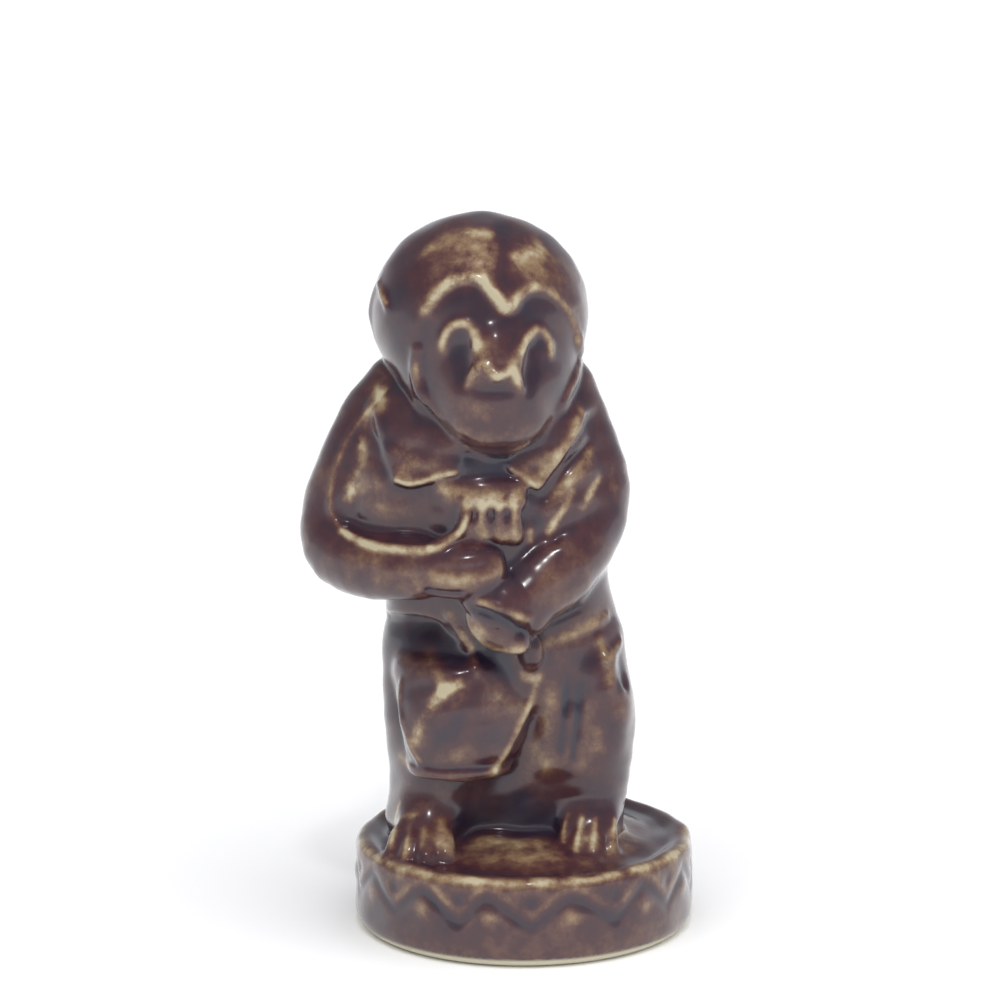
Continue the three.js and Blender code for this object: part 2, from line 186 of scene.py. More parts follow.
def within(layer, corners, thicker=0.0, soft=0.2, front=-30, back=30):
    """The layer, a little thicker, inside a front outline with corners [x, z] in parts."""
    corners = np.array(corners, float) * PART + [0, DRUM_HEIGHT]
    low = np.array([corners[:, 0].min(), front * PART, corners[:, 1].min()]) - 1.2
    high = np.array([corners[:, 0].max(), back * PART, corners[:, 1].max()]) + 1.2
    cut, (x, y, z) = window(low, high)
    px, pz = x[:, 0, :], z[0]
    near, sign = np.full((px + pz).shape, 1e9), np.ones((px + pz).shape)
    for (ax, az), (bx, bz) in zip(corners, np.roll(corners, 1, axis=0)):
        ex, ez = bx - ax, bz - az
        along = np.clip(((px - ax) * ex + (pz - az) * ez) / max(ex * ex + ez * ez, 1e-9), 0, 1)
        near = np.minimum(near, (px - ax - along * ex) ** 2 + (pz - az - along * ez) ** 2)
        crossed = (az > pz) != (bz > pz)
        sign[crossed & (px < ax + ex * (pz - az) / (ez if ez else 1e-9))] *= -1
    flat = (np.sqrt(near) * sign).astype(np.float32)[:, None, :]
    prism = np.maximum(flat, np.maximum(front * PART - y, y - back * PART))
    return cut, soft_max(layer[cut] - thicker, prism, soft)


def traced(layer, points, sunk=0.0):
    """Stations on the layer's front over front-view points [x, z, radius] in parts, each sunk
    by that share of its radius below the surface, as a smooth run in millimetres."""
    run = curve(np.array(points, float), 4)
    x, z, radius = run[:, 0] * PART, run[:, 1] * PART + DRUM_HEIGHT, run[:, 2] * PART
    i, k = (x - LOW[0]) / GRID, (z - LOW[2]) / GRID
    i0, k0 = i.astype(int), k.astype(int)
    right, up = (i - i0)[:, None], (k - k0)[:, None]
    column = (1 - right) * ((1 - up) * layer[i0, :, k0] + up * layer[i0, :, k0 + 1]) + right * (
        (1 - up) * layer[i0 + 1, :, k0] + up * layer[i0 + 1, :, k0 + 1]
    )
    hit = np.maximum((column < 0).argmax(1), 1)
    rows = np.arange(len(hit))
    before, after = column[rows, hit - 1], column[rows, hit]
    y = LOW[1] + GRID * (hit - 1 + before / np.maximum(before - after, 1e-6))
    found = (column < 0).any(1)
    return np.column_stack([x, y + sunk * radius, z, radius])[found]


def ridge(layer, points, sunk, soft=0.3):
    add(layer, rod(traced(layer, points, sunk)), soft)


def groove(layer, points, sunk=-0.1, soft=0.2):
    carve(layer, rod(traced(layer, points, sunk)), soft)


legs = blank()
# Each foot's heel, its instep [x, y, height] and the tips [x, y] of its toes.
FEET = [
    [[-5.5, -0.8, 0.8, 1.7], [-5.6, -3.3, 1.35],
     [[-7.3, -4.5], [-6.5, -5.3], [-5.5, -5.7], [-4.4, -5.4]]],
    [[3.4, 0.2, 0.8, 1.8], [3.7, -2.4, 1.6],
     [[2.3, -4.1], [3.1, -4.5], [4.0, -4.6], [4.95, -4.3]]],
]
for (heel, instep, toes), thick in zip(FEET, (0.5, 0.44)):
    add(legs, limb([heel, [instep[0], instep[1], 0.7, 1.5]]), 0.8)
    for i, (tx, ty) in enumerate(toes):
        s = (i / 3 - 0.5) * 2.2
        ix, iy, iz = instep
        knuckle = [0.5 * tx + 0.5 * (ix + s), 0.6 * ty + 0.4 * iy, 0.95, thick + 0.04]
        add(legs, limb([[ix + 0.8 * s, iy, iz, 0.46], knuckle, [tx, ty, 0.25, thick]]), 0.4)
# The shin, the two legs, and the clay left in behind and between them.
for column in (
    [[-4.4, -1.4, 5.6, 2.2], [-5.1, -1.7, 1.2, 1.9]],
    [[-5.3, 0.8, 11, 2.7], [-5.4, 0.7, 7, 2.6], [-5.3, 0.6, 3.6, 2.4], [-5.6, 0.3, 1.2, 2.2]],
    [[2.5, 0.3, 11.2, 3.0], [3.25, -0.3, 7.4, 3.1], [3.3, -0.5, 3.8, 2.75], [3.4, -0.5, 1.2, 2.2]],
    [[-2.4, 2.5, 11, 2.3], [-2.4, 2.5, 6, 2.3], [-2.4, 2.5, 1.2, 2.4]],
    [[0.9, 2.5, 11, 2.3], [0.9, 2.5, 6, 2.3], [0.9, 2.5, 1.2, 2.4]],
    [[0.9, -0.3, 10.4, 2.4], [0.8, -0.3, 6.5, 2.4], [0.6, -0.2, 3.2, 2.4], [0.5, 0.0, 0.9, 2.4]],
    [[-2.2, -0.4, 5.2, 2.2], [-2.3, -0.2, 3.0, 2.2], [-2.4, 0.1, 0.9, 2.2]],
):
    add(legs, limb(column), 1.3)
add(legs, ball([-1.1, 0.5, 11.2], [6.6, 4.5, 4.6]), 0.8)
add(legs, ball([-5.55, -4.7, 0.1], [1.0, 0.7, 0.5]), 0.2)
# The straight trouser leg's folds, its two creases and the dimple at the hip.
for fold in (
    [[4.2, -1.9, 9.8, 0.9], [4.9, -2.1, 8, 0.8], [4.6, -2.2, 6, 0.6]],
    [[1.8, -2.1, 9.4, 0.8], [2.1, -2.4, 7.4, 0.75], [1.9, -2.3, 5, 0.6]],
):
    add(legs, limb(fold), 1.2)
ridge(legs, [[4.2, 11.9, 0.2], [4.5, 11.1, 0.26], [4.8, 10.3, 0.24], [4.8, 9.2, 0.2]], 0.6, 0.4)
ridge(legs, [[5.4, 11.5, 0.2], [5.0, 11.0, 0.24], [4.6, 10.9, 0.2]], 0.6, 0.4)
groove(legs, [[2.5, 10.0, 0.1], [2.35, 8.9, 0.2], [2.2, 7.3, 0.2], [2.05, 5.6, 0.1]], 0.3, 0.3)
groove(legs, [[3.15, 9.4, 0.1], [3.05, 8.2, 0.18], [2.9, 6.6, 0.18], [2.75, 5.3, 0.1]], 0.3, 0.3)
carve(legs, ball([5.75, -1.9, 10.0], [0.3, 0.4, 1.0]), 0.6)

# The bent leg's trouser, cut off square above its turned cuff.
raised = blank()
for column in (
    [[-4.9, -1.4, 9.8, 2.5], [-4.75, -2.6, 7.6, 2.3], [-4.45, -2.9, 4.4, 1.95]],
    [[-3.5, -2.4, 9.7, 2.9], [-3.4, -3.0, 7.6, 2.6], [-3.6, -3.0, 4.4, 2.0]],
    [[-1.3, -1.4, 9.6, 2.4], [-1.9, -2.5, 7.4, 2.2], [-2.9, -2.8, 4.4, 1.75]],
):
    add(raised, limb(column), 0.8)
trouser = blank()
cut, shape = within(raised, [[-12, 4.9], [3, 4.9], [3, 11.3], [-12, 11.3]], 0, 0.9)
trouser[cut] = shape
ridge(trouser, [
    [0.9, 10.2, 0.2], [0.35, 8.6, 0.24], [-0.35, 7.2, 0.24], [-1.0, 5.9, 0.22], [-1.6, 5.1, 0.2],
], 0.3)
ridge(trouser, [
    [-6.9, 9.6, 0.14], [-6.9, 8.2, 0.18], [-6.5, 6.8, 0.18], [-6.1, 5.9, 0.18], [-5.7, 5.3, 0.16],
], 0.3)
add(legs, (EVERYWHERE, trouser), 0.3)
add(legs, within(raised, [[-12, 4.4], [3, 4.4], [3, 5.1], [-12, 5.1]], 0.14, 0.3), 0.2)
add(figure, (EVERYWHERE, legs), 0.5)

# The jacket, with its lining, collar and frill. It hangs open at the front in two curved
# hems, with a flat collar lying over it and a pleated frill at the throat. All of it was
# part of the carved model, so it is a step in the clay and not a cloth.
# The chest and the back, each as three columns from the shoulder to the hem.
FRONTS = [
    [[-6.1, -0.6, 23.4, 3], [-6.5, -0.6, 19.8, 3.5], [-4.7, -0.2, 15.4, 3.3], [-4.6, 0.6, 12.2, 3.3]],
    [[-2.8, -1.1, 23, 3.5], [-2.6, -1.1, 19.4, 4.1], [-1.7, -0.7, 15.4, 4.3], [-1.4, 0.6, 12.2, 4.2]],
    [[0.9, -0.6, 23.4, 3], [1.3, -0.5, 19.8, 3.6], [1.2, -0.2, 15.4, 3.5], [1.8, 0.6, 12.2, 3.5]],
]
BACKS = [
    [[-5.9, 1.4, 23.9, 3], [-6.1, 1.4, 19.6, 3.6], [-4.6, 1.4, 15.4, 3.3], [-4.6, 1.3, 12.2, 3.2]],
    [[-2.7, 1.6, 24, 3.5], [-2.5, 1.6, 19.6, 4.1], [-1.6, 1.3, 15.4, 4.1], [-1.4, 1.3, 12.2, 3.9]],
    [[0.7, 1.4, 23.9, 3], [1.1, 1.4, 19.6, 3.6], [1.2, 1.4, 15.4, 3.4], [1.8, 1.3, 12.2, 3.3]],
]
fronts = blank()
for column in FRONTS:
    add(fronts, limb(column), 0.9)
backs = blank()
for column in BACKS:
    add(backs, limb(column, 7), 1.4)
jacket = blank()
FRONT_HEM = [
    [-14, 12.9], [-7.9, 12.7], [-7.2, 13.2], [-6.1, 13.4], [-4.8, 13.2], [-3.8, 12.5],
    [-3.2, 10.9], [-2.4, 10.9], [-2.2, 12.6], [0.2, 12.4], [0.5, 11.5], [1.2, 11.7], [3, 12.5],
    [4.7, 12.9], [9, 13], [9, 30], [-14, 30],
]
cut, shape = within(fronts, FRONT_HEM, 0, 0.4, back=0.9)
jacket[cut] = np.minimum(jacket[cut], shape)
cut, shape = within(backs, [[-14, 12.6], [9, 12.6], [9, 30], [-14, 30]], 0, 0.25, front=0.2)
jacket[cut] = soft_min(jacket[cut], shape, 0.2)
ridge(jacket, [[-4.2, 13.9, 0.2], [-3.5, 12.9, 0.3], [-3.0, 12.0, 0.34], [-2.75, 11.2, 0.34]], 0.4)
ridge(jacket, [
    [0.7, 11.8, 0.3], [1.4, 12.0, 0.32], [2.4, 12.4, 0.3], [3.6, 12.75, 0.28], [4.6, 13.1, 0.24],
], 0.4)
groove(jacket, [[0.6, 13.0, 0.24], [1.8, 13.4, 0.28], [3.2, 13.9, 0.26]], -0.2, 0.3)
# What shows inside the open front: the lining and the hollow beside the knee.
lining = blank()
for column in ([-4.4, 0.6, 13.2, 3.1], [-1.5, 0.6, 13.6, 3.9], [1.4, 0.6, 13.2, 3.1]):
    add(lining, ball(column[:3], [column[3]] * 3), 0.8)
add(figure, (EVERYWHERE, lining), 0.3)
carve(figure, ball([-5.8, -4.4, 13.2], [2.3, 2.5, 2.0]), 0.6)
add(figure, (EVERYWHERE, jacket), 0.3)
ridge(figure, [
    [-3.5, 12.9, 0.26], [-3.0, 12.0, 0.32], [-2.75, 11.3, 0.32], [-2.7, 10.8, 0.22],
], 0.5, 0.3)
# The neck, and the collar's two points and its nape.
add(figure, limb([[-2.5, 0, 21, 3.7], [-2.3, 0.2, 26, 4.2]]), 0.3)
COLLAR_RIGHT = [
    [-8.8, 25.6], [-7.9, 23.2], [-7.3, 21.4], [-6.3, 21.1], [-5.2, 21.5], [-3.6, 22.1],
    [-3.2, 23.4], [-4.4, 27], [-8, 28],
]
COLLAR_LEFT = [
    [3.9, 25.2], [2.6, 23.4], [1.5, 21.9], [0.8, 21.0], [0.2, 21.5], [-1, 22.5], [-0.8, 24],
    [0.2, 27], [3.6, 28],
]
NAPE = [[-7.4, 21.8], [-2.5, 21.2], [2.5, 21.8], [3.2, 25], [2.6, 28], [-7.6, 28], [-8.1, 25]]
add(figure, within(fronts, COLLAR_RIGHT, 0.38, 0.5, back=1.2), 0.2)
add(figure, within(fronts, COLLAR_LEFT, 0.4, 0.25, back=1.2), 0.2)
add(figure, within(backs, NAPE, 0.45, 0.25, front=0.2), 0.15)
ridge(figure, [
    [-7.1, 21.6, 0.16], [-6.4, 21.4, 0.2], [-5.6, 21.6, 0.2], [-4.7, 21.95, 0.18],
    [-3.8, 22.2, 0.16],
], 0.4, 0.2)
ridge(figure, [
    [-0.7, 22.3, 0.16], [0.1, 21.75, 0.2], [0.8, 21.3, 0.2], [1.4, 22.1, 0.2], [2.2, 23.2, 0.2],
    [2.9, 24.3, 0.2], [3.3, 25.0, 0.16],
], 0.4, 0.2)
groove(figure, [[1.2, 20.6, 0.26], [2.0, 21.6, 0.3], [2.8, 22.5, 0.3], [3.7, 23.3, 0.26]], -0.1, 0.3)
# The frill, in two bands and four pleats.
add(figure, ball([-2.2, -2.6, 22.4], [2.2, 1.3, 1.0]), 0.6)
add(figure, limb([[-4.4, -4.3, 21.2, 0.45], [-2.5, -4.7, 21.1, 0.6], [-0.3, -4.5, 21.2, 0.45]]), 0.4)
add(figure, limb([[-3.9, -4.6, 20.6, 0.45], [-2.2, -4.95, 20.5, 0.5], [-0.3, -4.7, 20.5, 0.45]]), 0.4)
for fx in (-3.2, -2.3, -1.36, -0.52):
    pleat = [[fx, -4.9, 20.6, 0.42], [fx, -5.1, 19.8, 0.42], [0.97 * fx, -5.05, 18.7, 0.5]]
    add(figure, limb(pleat), 0.3)
for fx in (-2.82, -1.8, -0.94):
    groove(figure, [[fx, 20.35, 0.17], [fx, 20.0, 0.22], [fx, 19.65, 0.17]], -0.1, 0.15)

# The arms and hands. Each sleeve bends at the elbow across the belly. The right hand lies
# over the belly with its thumb up, and the left one lies below it, out of a wide cuff.
# They stand out from the jacket in one mass, and the glaze is thin along their edges.
arms = blank()
RIGHT_SLEEVE = [
    [-6.9, 0.5, 25.6, 2.2], [-8.3, 0.3, 23.6, 2.3], [-9.7, 0, 20.5, 2.3], [-10.35, -0.3, 18.2, 2.25],
    [-10, -1.4, 16.9, 2.15], [-8.2, -3.3, 16.6, 2], [-5.8, -4.7, 16.7, 1.8],
]
LEFT_SLEEVE = [
    [1.85, 0.5, 25.7, 2.2], [3, 0.3, 22.7, 2.25], [3.7, 0, 20.2, 2.3], [3.3, -1, 18.2, 2.3],
    [1.9, -3, 16.4, 2.25], [0.2, -4.2, 15.1, 2],
]
add(arms, limb(RIGHT_SLEEVE), 0.3)
add(arms, limb(LEFT_SLEEVE), 0.3)
# The seam along the inside of the right sleeve, where the glaze ran off.
SLEEVE_EDGE = [
    [-7.6, 26.3, 0.14], [-8.25, 25.6, 0.15], [-8.85, 24.8, 0.16], [-9.6, 23.8, 0.16],
    [-10.2, 22.6, 0.15], [-10.65, 21.3, 0.14], [-10.85, 20.1, 0.15], [-10.7, 19.1, 0.17],
    [-10.2, 18.5, 0.2], [-9.1, 18.15, 0.25], [-7.9, 18.0, 0.28], [-6.6, 18.0, 0.3],
    [-5.3, 18.05, 0.3],
]
ridge(arms, SLEEVE_EDGE, 0.1, 0.25)
groove(arms, [[3.9, 21.4, 0.24], [3.1, 20.4, 0.28], [2.3, 19.3, 0.26], [1.7, 18.3, 0.22]], -0.5, 0.5)
add(figure, (EVERYWHERE, arms), 0.5)
# The right hand, with three fingers and the thumb.
hands = blank()
add(hands, ball([-3.5, -5.0, 16.9], [2.3, 1.7, 1.5]), 0.5)
for fx, fz in ((-1.9, 17.2), (-2.0, 16.7), (-2.3, 16.2)):
    add(hands, limb([[-4.6, -5.4, fz - 0.1, 0.8], [-3.2, -5.7, fz, 0.85], [fx, -5.7, fz, 0.75]]), 0.8)
add(hands, limb([[-4.8, -5.6, 18.1, 0.45], [-3.6, -5.5, 18.9, 0.36], [-3.1, -5.3, 20, 0.3]]), 0.3)
add(figure, (EVERYWHERE, hands), 0.3)
groove(figure, [[-5.95, 17.6, 0.14], [-5.9, 16.9, 0.15], [-5.8, 16.0, 0.15]], -0.3, 0.2)
groove(figure, [[-4.7, 17.2, 0.3], [-3.4, 17.2, 0.36], [-2.0, 17.35, 0.3]], -0.8, 0.3)
ridge(figure, [
    [-5.2, 18.2, 0.16], [-4.7, 18.2, 0.2], [-4.05, 18.6, 0.2], [-3.45, 19.15, 0.2],
    [-3.2, 19.8, 0.18],
], 0.2, 0.2)
# The left hand's fingers, its wide cuff, and the knob below them.
lower = blank()
add(lower, ball([-1.3, -4.8, 13.7], [1.9, 1.2, 1.5]), 0.5)
for i in range(3):
    finger = [
        [-2.2 + 0.8 * i, -5.1, 14.6 - 0.45 * i, 0.75],
        [-2.0 + 0.8 * i, -5.5, 13.6 - 0.45 * i, 0.7],
        [-1.4 + 0.65 * i, -5.3, 12.9 - 0.25 * i, 0.55],
    ]
    add(lower, limb(finger), 0.25)
add(figure, (EVERYWHERE, lower), 0.25)
add(figure, limb([[-2.5, -5, 15.6, 1.3], [-1.2, -5.1, 14.8, 1.75], [0.1, -4.7, 14.2, 1.5]]), 0.2)
ridge(figure, [
    [-2.5, 15.2, 0.16], [-1.9, 15.1, 0.22], [-1.0, 14.75, 0.24], [0.2, 14.2, 0.2],
], 0.3, 0.25)
groove(figure, [
    [-2.8, 14.7, 0.22], [-1.9, 14.5, 0.3], [-1.0, 14.05, 0.34], [-0.1, 13.4, 0.3],
], -0.1, 0.25)
ridge(figure, [
    [-3.1, 14.2, 0.16], [-2.85, 13.6, 0.22], [-2.4, 12.9, 0.24], [-1.7, 12.35, 0.22],
    [-0.9, 12.2, 0.2], [-0.1, 12.3, 0.18],
], 0.3, 0.25)
groove(figure, [[-5.3, 15.75, 0.18], [-4.4, 15.65, 0.22], [-3.5, 15.7, 0.2]], -0.1, 0.2)
add(figure, ball([0.45, -4.0, 11.8], [0.7, 0.6, 1.0]), 0.5)

# The head. It is a smooth round cap of fur over the brow, with small ears set low, and it
# is turned and tilted a little on the neck. A heart-shaped face is sunk into the fur, with
# arched lids, a flat nose with wide nostrils and a full muzzle.
HEAD = np.array([-2.5, 0, 29.9])
TURN, TILT = np.radians(12), np.radians(6)
TURNED = [[np.cos(TURN), -np.sin(TURN), 0], [np.sin(TURN), np.cos(TURN), 0], [0, 0, 1]]
TILTED = [[np.cos(TILT), 0, np.sin(TILT)], [0, 1, 0], [-np.sin(TILT), 0, np.cos(TILT)]]
HEAD_TURN = np.array(TURNED) @ np.array(TILTED)


def on_head(stations):
    """Stations given from the middle of the head, in its own directions."""
    stations = np.array(stations, float)
    turned = stations[:, :3] @ HEAD_TURN.T + HEAD
    return np.column_stack([turned, stations[:, 3:]])


head = blank()
add(head, ball(on_head([[0.1, 0.3, 0.3]])[0], [6.1, 5.6, 5.65], HEAD_TURN), 1.0)
add(head, ball(on_head([[0.6, -1.5, -2.85]])[0], [4.9, 4.5, 4.4], HEAD_TURN), 1.0)
# The heart-shaped edge that the face is sunk behind, as seen from the front.
FACE = [
    [-5.5, 30.6], [-5.3, 31.4], [-4.7, 32.15], [-4.0, 32.7], [-3.2, 33.0], [-2.4, 32.9],
    [-1.9, 32.4], [-1.4, 31.8], [-0.95, 31.4], [-0.5, 31.6], [-0.1, 32.1], [0.5, 32.35],
    [1.4, 32.0], [2.2, 31.2], [2.8, 30.1], [3.1, 29.0], [3.1, 28.0], [2.8, 27.0], [2.1, 25.8],
    [1.2, 24.9], [0.2, 24.2], [-1.1, 23.75], [-2.5, 23.8], [-3.7, 24.6], [-4.7, 25.7],
    [-5.4, 26.9], [-5.7, 28.2], [-5.75, 29.5],
]
cut, hood = within(head, FACE, 6.0, 0.3, back=0.5)
head[cut] = soft_max(head[cut], -np.maximum(hood, -(head[cut] + 0.2)), 0.35)
BROW = [
    [-5.45, 31.3, 0.16], [-4.8, 32.2, 0.24], [-4.1, 32.75, 0.27], [-3.25, 33.08, 0.3],
    [-2.4, 33.0, 0.32], [-1.95, 32.55, 0.3], [-1.48, 32.0, 0.32], [-1.0, 31.5, 0.36],
    [-0.55, 31.62, 0.34], [-0.15, 32.1, 0.28], [0.55, 32.4, 0.27], [1.42, 32.05, 0.2],
    [2.2, 31.25, 0.18], [2.75, 30.2, 0.16], [3.0, 29.0, 0.16],
]
ridge(head, BROW, 0.3, 0.3)
ridge(head, [[3.0, 29.0, 0.16], [3.0, 27.9, 0.2], [2.75, 26.9, 0.2], [2.1, 25.8, 0.16]], 0.6, 0.5)
ridge(head, [[-5.95, 29.0, 0.2], [-6.0, 28.0, 0.24], [-5.9, 27.0, 0.22], [-5.5, 26.1, 0.18]], 0.5, 0.5)
groove(head, [
    [-5.9, 25.9, 0.26], [-5.0, 24.8, 0.32], [-4.0, 23.9, 0.32], [-3.1, 23.3, 0.24],
], -0.3, 0.4)
add(head, ball([-1.5, -4.4, 26.2], [2.5, 1.9, 2.3], HEAD_TURN), 1.2)
add(head, ball([-1.45, -4.25, 24.9], [2.3, 1.6, 1.5], HEAD_TURN), 1.0)
add(head, ball([-1.5, -4.7, 28.6], [1.5, 1.5, 1.9], HEAD_TURN), 1.2)
groove(head, [[-3.65, 29.5, 0.6], [-3.6, 28.6, 0.7], [-3.4, 27.6, 0.6]], -0.97, 0.3)
groove(head, [[0.7, 29.2, 0.6], [0.65, 28.2, 0.7], [0.5, 27.2, 0.6]], -0.97, 0.3)
# The arched lids and the nostrils' wings.
LIDS = [
    [
        [-4.5, 29.2, 0.18], [-4.35, 29.85, 0.23], [-4.0, 30.4, 0.26], [-3.5, 30.62, 0.28],
        [-3.02, 30.5, 0.26], [-2.72, 30.0, 0.22], [-2.6, 29.5, 0.18],
    ],
    [
        [-0.1, 29.2, 0.18], [0.25, 29.8, 0.23], [0.74, 30.15, 0.26], [1.2, 29.85, 0.24],
        [1.5, 29.2, 0.22], [1.5, 28.7, 0.16],
    ],
]
WINGS = [
    [
        [-3.05, 27.4, 0.18], [-2.8, 28.05, 0.24], [-2.25, 28.5, 0.27], [-1.85, 28.25, 0.27],
        [-1.45, 27.95, 0.27],
    ],
    [
        [-0.15, 27.1, 0.18], [-0.35, 27.75, 0.24], [-0.6, 28.15, 0.26], [-1.0, 28.1, 0.27],
        [-1.45, 27.95, 0.27],
    ],
]
for run in LIDS + WINGS:
    ridge(head, run, 0.25, 0.3)
groove(head, [[-2.6, 27.2, 0.4], [-1.5, 27.1, 0.5], [-0.6, 27.1, 0.4]], -0.95, 0.3)
for ear in (
    [[-5.1, 0.1, 1.6, 0.45], [-5.5, 0.9, 1, 0.5], [-5.55, 1.2, -0.2, 0.5], [-5.2, 0.8, -1.2, 0.45]],
    [[5.1, 0.1, 1.6, 0.45], [5.5, 0.9, 1, 0.5], [5.55, 1.2, -0.2, 0.5], [5.2, 0.8, -1.2, 0.45]],
):
    add(head, limb(on_head(ear)), 0.35)
ridge(head, [[-8.1, 32.1, 0.2], [-7.7, 31.6, 0.26], [-7.5, 31.1, 0.2]], 0.2, 0.2)
add(figure, (EVERYWHERE, head), 0.25)
ridge(figure, [
    [-3.6, 23.75, 0.2], [-2.5, 23.3, 0.22], [-1.5, 23.2, 0.22], [-0.6, 23.35, 0.22],
    [0.3, 23.8, 0.2],
], 0.2, 0.2)

# The tail. It hangs from under the jacket behind and lies round the left heel on the drum,
# part of the same clay. It can't be seen in the photograph, and it is plain.
TAIL = [
    [-0.9, 4, 11, 1], [-0.8, 4.9, 8.6, 0.95], [-0.6, 5.1, 5.2, 0.9], [0.2, 5.3, 2.2, 0.85],
    [2.6, 5.4, 0.9, 0.75], [5.2, 4.2, 0.7, 0.5],
]
add(figure, limb(TAIL, 4), 0.4)

# The clay skin. Pressing and dipping in glaze leave a slightly uneven surface with soft
# edges. The distances become one closed mesh, flat underneath where the foot was wiped.
cut, (x, y, z) = window(LOW, HIGH)
EDGE_SOFTNESS = 0.11  # mm
MOST_TRIANGLES = 190000
uneven = 0.035 * np.sin(1.1 * x + 0.7 * z + 0.4) * np.sin(1.3 * y - 0.5 * x + 1.0)
uneven = uneven + 0.03 * np.sin(2.3 * z + 1.7 * y) * np.sin(2.1 * x - 0.9 * z + 2.0)
lift = np.clip(z - 0.3, 0, 1)
figure += (uneven * lift).astype(np.float32)


def blurred(values, spread):
    """The grid's values, spread evenly over their surroundings by that many millimetres."""
    half = int(np.ceil(2.2 * spread / GRID))
    weight = np.exp(-0.5 * (np.arange(-half, half + 1) * GRID / spread) ** 2)
    weight = (weight / weight.sum()).astype(np.float32)
    for axis in range(3):
        total = np.zeros_like(values)
        for offset, w in zip(range(-half, half + 1), weight):
            source = [slice(None)] * 3
            target = [slice(None)] * 3
            source[axis] = slice(max(offset, 0), values.shape[axis] + min(offset, 0))
            target[axis] = slice(max(-offset, 0), values.shape[axis] + min(-offset, 0))
            total[tuple(target)] += w * values[tuple(source)]
        values = total
    return values


figure = np.clip(figure, -REACH, REACH)
figure = blurred(figure, EDGE_SOFTNESS)
under = np.broadcast_to(-z, figure.shape)
figure = np.maximum(figure, under).astype(np.float32)


def skinned(field):
    """One closed mesh of quads on the surface where the distance is nothing."""
    inside = field < 0
    corners = [(i, j, k) for i in (0, 1) for j in (0, 1) for k in (0, 1)]
    n = np.array(field.shape) - 1
    total = np.zeros(n, np.int8)
    for i, j, k in corners:
        total += inside[i : i + n[0], j : j + n[1], k : k + n[2]]
    cells = np.argwhere((total > 0) & (total < 8))
    number = np.full(n, -1, np.int32)
    number[tuple(cells.T)] = np.arange(len(cells))
    place, count = np.zeros((len(cells), 3)), np.zeros((len(cells), 1))
    value = {c: field[tuple((cells + c).T)].astype(float) for c in corners}
    for a in corners:
        for axis in range(3):
            if a[axis]:
                continue
            b = tuple(a[i] + (i == axis) for i in range(3))
            crossing = (value[a] < 0) != (value[b] < 0)
            share = value[a][crossing] / (value[a][crossing] - value[b][crossing])
            point = np.tile(np.array(a, float), (crossing.sum(), 1))
            point[:, axis] += share
            place[crossing] += point
            count[crossing] += 1
    points = LOW + GRID * (cells + place / count)
    faces = []
    for axis in range(3):
        first = [slice(1, -1)] * 3
        first[axis] = slice(0, -1)
        second = list(first)
        second[axis] = slice(1, None)
        a, b = inside[tuple(first)], inside[tuple(second)]
        for out, flip in ((a & ~b, False), (~a & b, True)):
            at = np.argwhere(out) + [0 if i == axis else 1 for i in range(3)]
            u, v = [(1, 2), (2, 0), (0, 1)][axis]
            ring = []
            for du, dv in ((1, 1), (0, 1), (0, 0), (1, 0)):
                cell = at.copy()
                cell[:, u] -= du
                cell[:, v] -= dv
                ring.append(number[tuple(cell.T)])
            ring = np.column_stack(ring)
            faces.append(ring[:, ::-1] if flip else ring)
    return points, np.vstack(faces)


def sampled(values, points):
    """The grid's values at points in between."""
    at = np.clip((points - LOW) / GRID, 0, np.array(values.shape) - 1.001)
    base = at.astype(int)
    share = at - base
    total = np.zeros(len(points))
    for i in (0, 1):
        for j in (0, 1):
            for k in (0, 1):
                weight = np.abs(1 - i - share[:, 0]) * np.abs(1 - j - share[:, 1])
                weight *= np.abs(1 - k - share[:, 2])
                total += weight * values[base[:, 0] + i, base[:, 1] + j, base[:, 2] + k]
    return total


points, faces = skinned(figure)
mesh = bpy.data.meshes.new("monkey_casting")
mesh.vertices.add(len(points))
mesh.vertices.foreach_set("co", (points / 1000).astype(np.float32).ravel())
mesh.loops.add(faces.size)
mesh.loops.foreach_set("vertex_index", faces.astype(np.int32).ravel())
mesh.polygons.add(len(faces))
mesh.polygons.foreach_set("loop_start", np.arange(0, faces.size, 4, dtype=np.int32))
mesh.update()
mesh.validate()
casting = bpy.data.objects.new("monkey_casting", mesh)
bpy.context.scene.collection.objects.link(casting)
thinned = casting.modifiers.new("thinned", "DECIMATE")
thinned.ratio = min(1.0, MOST_TRIANGLES / (2 * len(faces)))
bpy.context.view_layer.objects.active = casting
bpy.ops.object.modifier_apply(modifier="thinned")
mesh = casting.data
mesh.polygons.foreach_set("use_smooth", np.ones(len(mesh.polygons), bool))
points = np.zeros(len(mesh.vertices) * 3, np.float32)
mesh.vertices.foreach_get("co", points)
points = points.reshape(-1, 3).astype(float) * 1000

# The glaze. A shiny brown glaze ran off every edge and pooled in every hollow, so it is
# cream and honey where it is thin and dark aubergine where it is deep. How thin it lies comes
# from the clay's own shape and from the runs below, and the foot was wiped bare before firing.
# A few of the runs are painted light in the glaze's colours: painted highlights and
# reflections in cream, and painted shade in dark aubergine.
fine = sampled(blurred(figure, 0.26), points) - sampled(figure, points)
broad = sampled(blurred(figure, 0.8), points) - sampled(figure, points)
WIPED_TO = 0.6  # height of the bare band round the foot, in mm
bare = np.clip((WIPED_TO - points[:, 2]) / 0.16, 0, 1)
